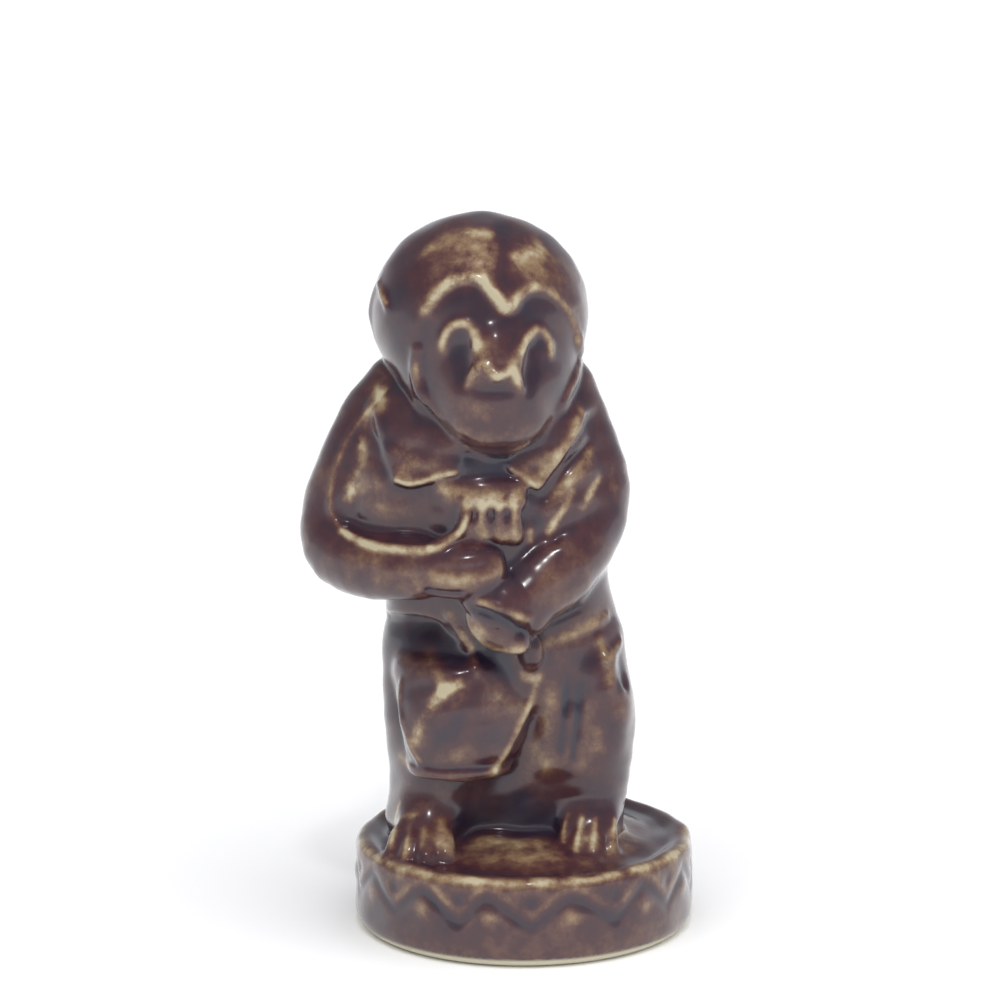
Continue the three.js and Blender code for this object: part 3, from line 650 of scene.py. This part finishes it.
# Each run is how much thinner the glaze lies there, its half-width in mm, and its line [x, z].
# Where a run is painted light, a positive amount paints a highlight or reflection and a
# negative one paints shade.
GLAZE_RUNS_AND_PAINTED_LIGHT = [
    # the brow, lids, nose and muzzle
    (0.55, 0.38, [p[:2] for p in BROW[:8]]),
    (0.5, 0.34, [p[:2] for p in BROW[7:11]]),
    (0.3, 0.24, [p[:2] for p in BROW[10:]]),
    (0.3, 0.5, [[-1.55, 32.1], [-1.05, 31.6], [-0.7, 31.7]]),
    (0.2, 0.6, [[-3.9, 33.0], [-3.0, 33.3]]),
    (0.42, 0.3, [p[:2] for p in LIDS[0]]),
    (0.42, 0.3, [p[:2] for p in LIDS[1]]),
    (0.44, 0.3, [p[:2] for p in WINGS[0]]),
    (0.42, 0.28, [p[:2] for p in WINGS[1]]),
    (0.14, 0.9, [[-2.4, 28.3], [-2.2, 29.4]]),
    (0.12, 0.8, [[-1.7, 28.9], [-1.4, 28.3]]),
    (0.12, 0.7, [[-3.0, 26.4], [-1.6, 26.0], [-0.2, 26.2]]),
    (0.14, 0.5, [[-3.2, 24.6], [-1.9, 24.3], [-0.3, 24.6]]),
    (0.12, 0.9, [[-0.4, 27.6], [0.1, 28.6]]),
    (-0.08, 1.2, [[-3.8, 31.6], [-2.0, 31.0], [-1.4, 29.6]]),
    (-0.08, 1.0, [[0.4, 31.2], [1.6, 30.8]]),
    (-0.16, 0.6, [[-3.65, 29.7], [-3.6, 28.3], [-3.4, 26.9]]),
    (-0.16, 0.6, [[0.7, 29.4], [0.6, 28.0], [0.4, 26.6]]),
    (-0.16, 0.5, [[-2.6, 26.9], [-1.5, 26.9], [-0.6, 26.9]]),
    (0.18, 0.45, [[-2.55, 29.4], [-2.5, 28.6]]),
    (0.18, 0.4, [[-0.2, 29.1], [-0.5, 28.4]]),
    (0.3, 0.3, [[-5.95, 28.1], [-5.95, 27.0]]),
    (0.16, 0.25, [[3.0, 28.6], [2.95, 27.2], [2.3, 26.1]]),
    # the crown and the ear
    (0.26, 0.3, [[-5.8, 33.85], [-5.2, 34.4]]),
    (0.14, 0.5, [[-5.0, 34.5], [-4.1, 34.95], [-3.3, 35.1]]),
    (0.12, 1.5, [[-5.6, 33.2], [-4.2, 34.1], [-2.6, 34.2]]),
    (0.08, 1.2, [[0.6, 34.6], [1.6, 33.4], [2.4, 32.4]]),
    (0.26, 0.4, [[-2.9, 35.2], [-1.95, 35.1]]),
    (0.22, 0.5, [[-2.3, 33.9], [-1.9, 34.3], [-1.7, 34.6]]),
    (0.3, 0.45, [[-0.4, 33.95], [0.3, 34.15], [1.0, 34.2]]),
    (0.14, 0.6, [[-0.1, 33.3], [0.6, 33.2]]),
    (-0.2, 0.45, [[-1.3, 35.6], [-1.15, 34.3], [-1.05, 33.0]]),
    (-0.14, 1.6, [[-6.6, 32.2], [-7.0, 30.2], [-6.9, 28.6]]),
    (0.34, 0.2, [[-8.05, 31.8], [-7.6, 31.4]]),
    (0.24, 0.16, [[-3.2, 23.7], [-2.4, 23.45], [-1.5, 23.35], [-0.7, 23.45], [0.0, 23.7]]),
    # the right sleeve and the jacket beside it
    (0.2, 0.16, [p[:2] for p in SLEEVE_EDGE[:9]]),
    # along the forearm's top the seam's cream is partly thin glaze and partly a painted highlight
    (0.55, 0.26, [p[:2] for p in SLEEVE_EDGE[8:]]),
    (0.4, 0.4, [[-8.1, 26.2], [-7.9, 25.3]]),
    (0.34, 0.4, [[-8.5, 25.0], [-8.9, 23.9], [-9.1, 23.2]]),
    (0.5, 0.5, [[-9.0, 22.8], [-9.2, 21.8], [-9.5, 20.8]]),
    (0.5, 0.3, [[-9.6, 20.6], [-9.8, 20.1]]),
    (0.26, 0.4, [[-9.0, 20.8], [-8.3, 21.2]]),
    (0.12, 0.9, [[-8.6, 19.8], [-7.0, 19.9]]),
    # the collar and the left shoulder's folds
    # painted shade along the right collar's outer edge
    (-0.2, 0.4, [[-7.9, 24.9], [-7.8, 23.6], [-7.8, 22.2]]),
    (0.45, 0.18, [[-7.1, 21.6], [-6.4, 21.4], [-5.6, 21.6], [-4.7, 21.95], [-3.8, 22.2]]),
    (0.34, 0.6, [[-6.7, 23.1], [-6.5, 22.2]]),
    (0.16, 0.7, [[-5.6, 22.6], [-5.0, 22.4]]),
    (0.4, 0.2, [[-0.7, 22.3], [0.1, 21.75], [0.8, 21.3]]),
    (0.36, 0.4, [[0.8, 21.6], [1.4, 22.3], [2.2, 23.4], [2.9, 24.5], [3.3, 25.2]]),
    (0.24, 0.5, [[0.2, 22.3], [1.0, 22.9]]),
    (0.36, 0.45, [[3.75, 22.8], [3.0, 21.9], [2.1, 20.95], [1.2, 19.9]]),
    # a painted reflection: a light streak across the left sleeve
    (0.5, 0.26, [[4.3, 21.4], [3.7, 20.6], [3.3, 19.9]]),
    (-0.16, 0.4, [[1.1, 21.1], [0.95, 20.1], [0.8, 19.2]]),
    # a painted reflection: a second light streak across the left sleeve
    (0.5, 0.24, [[2.7, 20.7], [2.1, 19.7], [1.4, 18.7]]),
    (0.5, 0.24, [[0.35, 18.7], [0.35, 18.2]]),
    (0.12, 0.9, [[-9.6, 17.2], [-7.6, 16.4], [-5.9, 16.2]]),
    (0.12, 0.8, [[1.6, 16.4], [0.6, 15.4]]),
    (0.14, 0.7, [[4.6, 22.4], [4.9, 20.6]]),
    # the frill and the hands
    (0.5, 0.45, [[-4.3, 21.2], [-3.2, 20.9], [-1.9, 20.8], [-0.4, 20.9]]),
    (0.34, 0.3, [[-3.2, 20.4], [-1.9, 20.45], [-0.5, 20.4]]),
    (0.24, 0.7, [[-2.4, 18.9], [-1.0, 18.7]]),
    (0.3, 0.24, [[-2.3, 20.3], [-2.3, 19.6]]),
    (0.3, 0.2, [[-1.36, 20.3], [-1.36, 19.6]]),
    (0.26, 0.2, [[-0.5, 20.3], [-0.5, 19.0]]),
    (0.14, 0.4, [[-2.5, 18.9], [-1.4, 18.8]]),
    (0.45, 0.2, [[-5.2, 18.2], [-4.7, 18.2], [-4.05, 18.6], [-3.45, 19.15], [-3.2, 19.8]]),
    (0.14, 0.2, [[-6.1, 17.6], [-5.95, 16.9], [-5.8, 15.9]]),
    (0.2, 0.5, [[-4.8, 16.6], [-3.5, 16.5], [-2.4, 16.7], [-1.4, 16.8]]),
    (-0.12, 0.4, [[-5.0, 17.8], [-3.8, 17.9], [-2.7, 18.0], [-1.6, 18.1]]),
    (-0.2, 0.3, [[-5.3, 15.8], [-4.4, 15.7], [-3.5, 15.8]]),
    (0.3, 0.28, [[-2.4, 15.2], [-1.9, 15.1], [-1.0, 14.75], [0.2, 14.2]]),
    # painted shadow under the left cuff, over glaze pooled in its groove
    (-0.2, 0.45, [[-2.6, 14.6], [-1.3, 14.1], [0.0, 13.2]]),
    (0.34, 0.28, [
        [-3.1, 14.2], [-2.8, 13.55], [-2.4, 12.85], [-1.8, 12.3], [-1.0, 12.2], [-0.1, 12.35],
    ]),
    (0.26, 0.3, [[-2.6, 13.9], [-2.3, 13.3]]),
    (-0.1, 1.0, [[0.0, 16.6], [1.0, 15.6]]),
    # the jacket's hems, and painted shade in the hollows beside them
    (0.3, 0.36, [[-4.1, 13.9], [-3.5, 12.9], [-3.0, 12.0]]),
    (0.32, 0.3, [[-3.0, 12.0], [-2.75, 11.3]]),
    (0.28, 0.45, [[0.9, 11.8], [1.6, 12.1], [2.6, 12.5], [3.6, 12.8], [4.5, 13.1]]),
    (-0.2, 0.4, [[0.5, 12.6], [0.5, 11.3]]),
    (0.4, 0.3, [[-0.5, 11.6], [-0.45, 10.9], [-0.1, 10.3], [0.4, 10.1]]),
    # painted shade in the hollow between the hems, under the hands
    (-0.3, 0.6, [[-2.0, 11.9], [-0.9, 11.7]]),
    # painted shade in the hollow beside the raised knee
    (-0.3, 1.0, [[-7.0, 11.5], [-5.8, 11.9], [-4.6, 11.7], [-4.0, 11.2]]),
    # painted shadow under the jacket's hem, below the left hand
    (-0.34, 0.6, [[-2.2, 11.2], [-1.4, 10.9], [-0.8, 10.8]]),
    # painted shade in the hollow under the chin
    (-0.4, 0.6, [[-3.4, 22.8], [-2.2, 22.5], [-1.1, 22.6]]),
    (-0.3, 0.3, [[-0.1, 2.9], [-0.1, 2.5]]),
    # the knee, the trousers and the cuff
    # a painted highlight on the knee's top, over thin glaze
    (0.6, 0.24, [[-4.6, 9.65], [-4.1, 9.9], [-3.6, 10.15]]),
    (0.45, 0.36, [[-4.4, 9.9], [-5.0, 9.0], [-5.7, 7.8], [-6.2, 6.7]]),
    (0.12, 0.6, [[-6.1, 6.9], [-4.8, 6.0], [-3.0, 5.7], [-1.8, 5.7]]),
    (0.3, 0.5, [[-5.2, 11.3], [-4.8, 10.6]]),
    (0.14, 1.5, [[-3.6, 9.4], [-1.8, 8.8]]),
    (0.1, 0.8, [[-6.2, 10.3], [-6.3, 8.6]]),
    (-0.1, 0.7, [[-2.4, 7.4], [-1.4, 7.4]]),
    (0.14, 0.8, [[-1.8, 9.3], [-0.7, 8.8], [-0.2, 8.4]]),
    (-0.2, 0.5, [[-2.5, 9.7], [-3.8, 8.0], [-5.3, 6.1]]),
    (0.3, 0.3, [[-7.0, 9.8], [-7.0, 8.9]]),
    (0.26, 0.3, [[-7.2, 11.0], [-6.6, 10.9]]),
    (0.16, 0.16, [[-6.9, 8.8], [-6.7, 7.2], [-6.2, 6.0], [-5.7, 5.3]]),
    (0.3, 0.22, [[0.9, 10.2], [0.35, 8.6], [-0.35, 7.2], [-1.0, 5.9], [-1.6, 5.0]]),
    (0.3, 0.36, [[-7.0, 4.9], [-6.5, 4.7]]),
    (0.2, 0.3, [[-1.9, 4.9], [-1.6, 4.8]]),
    (-0.24, 0.2, [[-6.0, 5.2], [-4.2, 5.2], [-2.2, 5.2]]),
    (-0.3, 0.18, [[2.4, 9.4], [2.3, 8.2], [2.2, 7.0], [2.05, 5.7]]),
    (-0.3, 0.16, [[3.1, 8.9], [3.0, 7.8], [2.85, 6.3], [2.75, 5.4]]),
    (0.1, 0.5, [[3.8, 9.4], [3.7, 7.4], [3.4, 5.0]]),
    (0.1, 0.4, [[1.5, 9.0], [1.4, 7.0], [1.3, 5.0]]),
    (0.1, 0.7, [[1.2, 9.4], [1.0, 7.6], [0.8, 6.0]]),
    (0.2, 0.34, [[4.2, 11.8], [4.5, 11.1], [4.8, 10.3], [4.8, 9.6]]),
    (0.2, 0.2, [[5.3, 11.4], [4.9, 11.0]]),
    (-0.24, 0.35, [[5.5, 10.6], [5.4, 9.2]]),
    (-0.1, 0.8, [[3.3, 11.0], [3.4, 9.8]]),
    (0.2, 0.4, [[4.2, 6.9], [4.2, 6.0]]),
    (0.1, 1.0, [[0.6, 8.0], [0.6, 5.0], [0.6, 3.4]]),
    # painted shade where the legs meet the drum, over glaze pooled at their foot; this run and the
    # next
    (-0.3, 0.7, [[-3.4, 0.8], [-0.2, 0.7], [2.2, 0.8]]),
    (-0.2, 0.8, [[-3.4, 1.8], [-0.2, 1.7], [1.8, 1.8]]),
    # the toes
    (0.36, 0.18, [[2.5, 2.0], [2.3, 1.4], [2.25, 0.7]]),
    (0.36, 0.18, [[3.3, 1.8], [3.1, 1.1], [2.95, 0.4]]),
    (0.36, 0.18, [[4.1, 1.8], [4.0, 1.1], [3.85, 0.4]]),
    (0.36, 0.18, [[5.2, 1.6], [5.0, 0.9], [4.7, 0.2]]),
    (0.6, 0.24, [[-7.1, 2.3], [-7.3, 1.4], [-7.5, 0.8], [-7.5, 0.2]]),
    (0.22, 0.2, [[-6.5, 1.7], [-6.6, 0.9], [-6.7, 0.2]]),
    (0.16, 0.2, [[-5.6, 1.6], [-5.7, 0.8]]),
    (0.3, 0.35, [[-4.65, 1.8], [-4.65, 1.0]]),
    (0.3, 0.24, [[-6.9, 1.9], [-6.2, 2.1]]),
    # a broad warm patch over the brow
    (0.12, 1.4, [[-2.2, 35.0], [-3.5, 34.0], [0.4, 34.0]]),
    (0.2, 0.3, [[0.2, 35.6], [0.4, 34.9]]),
]
glaze_and_painted_light = np.zeros(len(points))
for amount, wide, line in GLAZE_RUNS_AND_PAINTED_LIGHT:
    spots = traced(figure, [[px, pz, 0.1] for px, pz in line])[:, :3]
    close = np.flatnonzero(
        ((points > spots.min(0) - 2.6 * wide) & (points < spots.max(0) + 2.6 * wide)).all(1)
    )
    here, near = points[close], np.full(len(close), 1e9)
    for first, last in zip(spots, spots[1:]):
        step = last - first
        along = np.clip((here - first) @ step / max(step @ step, 1e-9), 0, 1)
        near = np.minimum(near, ((here - first - along[:, None] * step) ** 2).sum(1))
    glaze_and_painted_light[close] += amount * np.exp(-near / wide**2)
around = np.sqrt(points[:, 0] ** 2 + points[:, 1] ** 2)
over_rim = points[:, 2] - DRUM_HEIGHT
on_mound = np.clip((0.9 - np.abs(over_rim - 0.35)) / 0.3, 0, 1) * np.clip((8.0 - around) / 2.5, 0, 1)
on_rim = np.exp(-(((around - 9.45) / 0.34) ** 2) - ((over_rim + 0.1) / 0.34) ** 2)
on_side = np.clip((around - 9.1) / 0.3, 0, 1) * np.clip((-0.35 - over_rim) / 0.3, 0, 1)
pad, groove_at, pit, over = drum_marks(np.arctan2(points[:, 0], -points[:, 1]), points[:, 2])
edged = np.exp(-(((over - 0.62) / 0.26) ** 2))
glaze_and_painted_light += 0.27 * on_mound + 0.5 * on_rim + 0.03 * on_side
glaze_and_painted_light += on_side * (0.26 * pad + 0.16 * edged - 0.14 * groove_at - 0.16 * pit)
for name, values in (
    ("thin_edge", np.clip(fine / 0.16, -1, 1)),
    ("thin_form", np.clip(broad / 0.5, -1, 1)),
    ("glaze_run_and_painted_light", glaze_and_painted_light),
    ("bare_foot", bare),
):
    mesh.attributes.new(name, "FLOAT", "POINT").data.foreach_set("value", values.astype(np.float32))


def tone(red, green, blue):
    """A colour as seen on a screen, 0 to 255, as the linear colour that a shader takes."""
    return [((c / 255 + 0.055) / 1.055) ** 2.4 for c in (red, green, blue)] + [1]


glaze = bpy.data.materials.new("brown_glaze")
glaze.use_nodes = True
tree = glaze.node_tree
shader = tree.nodes["Principled BSDF"]


def node(kind, **settings):
    made = tree.nodes.new(kind)
    for key, value in settings.items():
        setattr(made, key, value)
    return made


def attribute(name):
    return node("ShaderNodeAttribute", attribute_name=name).outputs["Fac"]


def math(operation, *values, clamp=False):
    made = node("ShaderNodeMath", operation=operation, use_clamp=clamp)
    for socket, value in zip(made.inputs, values):
        if isinstance(value, (int, float)):
            socket.default_value = value
        else:
            tree.links.new(value, socket)
    return made.outputs[0]


place = node("ShaderNodeTexCoord").outputs["Object"]


def mottle(scale, detail, roughness=0.5):
    made = node("ShaderNodeTexNoise")
    made.inputs["Scale"].default_value = scale
    made.inputs["Detail"].default_value = detail
    made.inputs["Roughness"].default_value = roughness
    tree.links.new(place, made.inputs["Vector"])
    return math("SUBTRACT", made.outputs["Fac"], 0.5)


broad_drift = math("MULTIPLY", mottle(330, 3, 0.6), 0.6)
drift = math("ADD", broad_drift, math("MULTIPLY", mottle(900, 3, 0.6), 0.3))
fleck = mottle(1500, 4, 0.7)
patchy = math("ADD", math("MULTIPLY", fleck, 1.2), math("MULTIPLY", mottle(640, 2), 2.4))
edge = math("MULTIPLY", attribute("thin_edge"), math("ADD", math("MULTIPLY", patchy, 0.2), 0.2))
form = math("MULTIPLY", attribute("thin_form"), 0.1)
# The runs lighten and darken the glaze: mostly thinner and pooled glaze, and in places painted
# highlights, reflections and shade.
run = math("MULTIPLY", attribute("glaze_run_and_painted_light"), math("ADD", patchy, 0.95))
speck = math("MULTIPLY", fleck, 0.22)
from_shape = math("ADD", edge, form)
thin = math("ADD", math("ADD", from_shape, math("ADD", drift, speck)), math("ADD", run, 0.29))
ramp = node("ShaderNodeValToRGB")
# The glaze's colour from its deepest to its thinnest, which also colours the painted shade and
# highlights.
TONES = [
    (0.0, tone(36, 30, 46)), (0.18, tone(48, 31, 42)), (0.36, tone(68, 38, 42)),
    (0.5, tone(92, 63, 53)), (0.68, tone(131, 106, 79)), (0.97, tone(174, 163, 135)),
]
while len(ramp.color_ramp.elements) < len(TONES):
    ramp.color_ramp.elements.new(0.5)
for stop, (position, colour) in zip(ramp.color_ramp.elements, TONES):
    stop.position = position
    stop.color = colour
tree.links.new(thin, ramp.inputs["Fac"])
wiped = node("ShaderNodeMix", data_type="RGBA")
wiped.inputs[7].default_value = tone(196, 190, 168)
tree.links.new(attribute("bare_foot"), wiped.inputs[0])
tree.links.new(ramp.outputs["Color"], wiped.inputs[6])
tree.links.new(wiped.outputs[2], shader.inputs["Base Color"])
dullness = math("ADD", math("MULTIPLY", attribute("bare_foot"), 0.5), 0.3)
tree.links.new(dullness, shader.inputs["Roughness"])
tree.links.new(math("SUBTRACT", 1.0, attribute("bare_foot"), clamp=True), shader.inputs["Coat Weight"])
shader.inputs["Coat Roughness"].default_value = 0.17
shader.inputs["Coat IOR"].default_value = 1.55
shader.inputs["IOR"].default_value = 1.45
shader.inputs["Specular IOR Level"].default_value = 0.25
ripple = node("ShaderNodeBump")
ripple.inputs["Strength"].default_value = 0.14
ripple.inputs["Distance"].default_value = 0.00012
waves = math("ADD", mottle(700, 2), math("MULTIPLY", mottle(3200, 2), 0.25))
tree.links.new(waves, ripple.inputs["Height"])
tree.links.new(ripple.outputs["Normal"], shader.inputs["Normal"])
mesh.materials.clear()
mesh.materials.append(glaze)
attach(casting, "root")
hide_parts("monkey_on_drum")

# The studio. A pale floor under a surround that dims upward and a broad soft sun, with one
# small lamp high in front for the bright spots on the glaze.
AIM_HEIGHT = 0.02  # what the camera and the lamps point at, in metres
scene = bpy.context.scene
scene.view_settings.view_transform = "Standard"
floor_mesh = bpy.data.meshes.new("floor")
floor_mesh.from_pydata([(-3, -3, 0), (3, -3, 0), (3, 3, 0), (-3, 3, 0)], [], [(0, 1, 2, 3)])
floor = bpy.data.objects.new("floor", floor_mesh)
scene.collection.objects.link(floor)
paper = bpy.data.materials.new("pale_paper")
paper.use_nodes = True
matt = paper.node_tree.nodes["Principled BSDF"]
matt.inputs["Base Color"].default_value = (0.96, 0.96, 0.96, 1)
matt.inputs["Roughness"].default_value = 0.9
matt.inputs["Specular IOR Level"].default_value = 0.0
floor_mesh.materials.append(paper)

world = bpy.data.worlds.new("surround")
world.use_nodes = True
air = world.node_tree
air.nodes["Background"].inputs["Color"].default_value = (0.92, 0.94, 1.0, 1)
sky = air.nodes.new("ShaderNodeTexCoord")
height = air.nodes.new("ShaderNodeSeparateXYZ")
fade = air.nodes.new("ShaderNodeMapRange")
fade.interpolation_type = "SMOOTHSTEP"
for socket, value in zip(list(fade.inputs)[1:5], (-0.05, 0.5, 0.66, 0.28)):
    socket.default_value = value
air.links.new(sky.outputs["Generated"], height.inputs[0])
air.links.new(height.outputs["Z"], fade.inputs[0])
air.links.new(fade.outputs[0], air.nodes["Background"].inputs["Strength"])
scene.world = world


def lamp(name, place, kind, energy):
    data = bpy.data.lights.new(name, kind)
    data.energy = energy
    made = bpy.data.objects.new(name, data)
    made.location = place
    toward = Vector((0, 0, AIM_HEIGHT)) - made.location
    made.rotation_euler = toward.to_track_quat("-Z", "Y").to_euler()
    scene.collection.objects.link(made)
    return made


sun = lamp("broad_sun", (0.1, -0.35, 0.6), "SUN", 2.9)
sun.data.angle = 1.7
sun.visible_glossy = False
high_front = lamp("high_front", (0.0, -0.28, 0.45), "AREA", 0.34)
high_front.data.size = 0.036

CAMERA_RISE = np.radians(14)
CAMERA_AWAY = 0.3  # metres
PIXELS_PER_MM = 17.761
PICTURE = 1000  # pixels across and down
AIM_PIXEL = (523.7, 579.2)  # where the aim falls in the picture
camera_data = bpy.data.cameras.new("camera")
camera_data.sensor_width = 36
camera_data.lens = 36 * PIXELS_PER_MM * CAMERA_AWAY
camera_data.shift_x = (PICTURE / 2 - AIM_PIXEL[0]) / PICTURE
camera_data.shift_y = (AIM_PIXEL[1] - PICTURE / 2) / PICTURE
camera_data.clip_start = 0.01
camera = bpy.data.objects.new("camera", camera_data)
camera_height = AIM_HEIGHT + CAMERA_AWAY * np.sin(CAMERA_RISE)
camera.location = (0, -CAMERA_AWAY * np.cos(CAMERA_RISE), camera_height)
camera.rotation_euler = (np.pi / 2 - CAMERA_RISE, 0, 0)
scene.collection.objects.link(camera)
scene.camera = camera
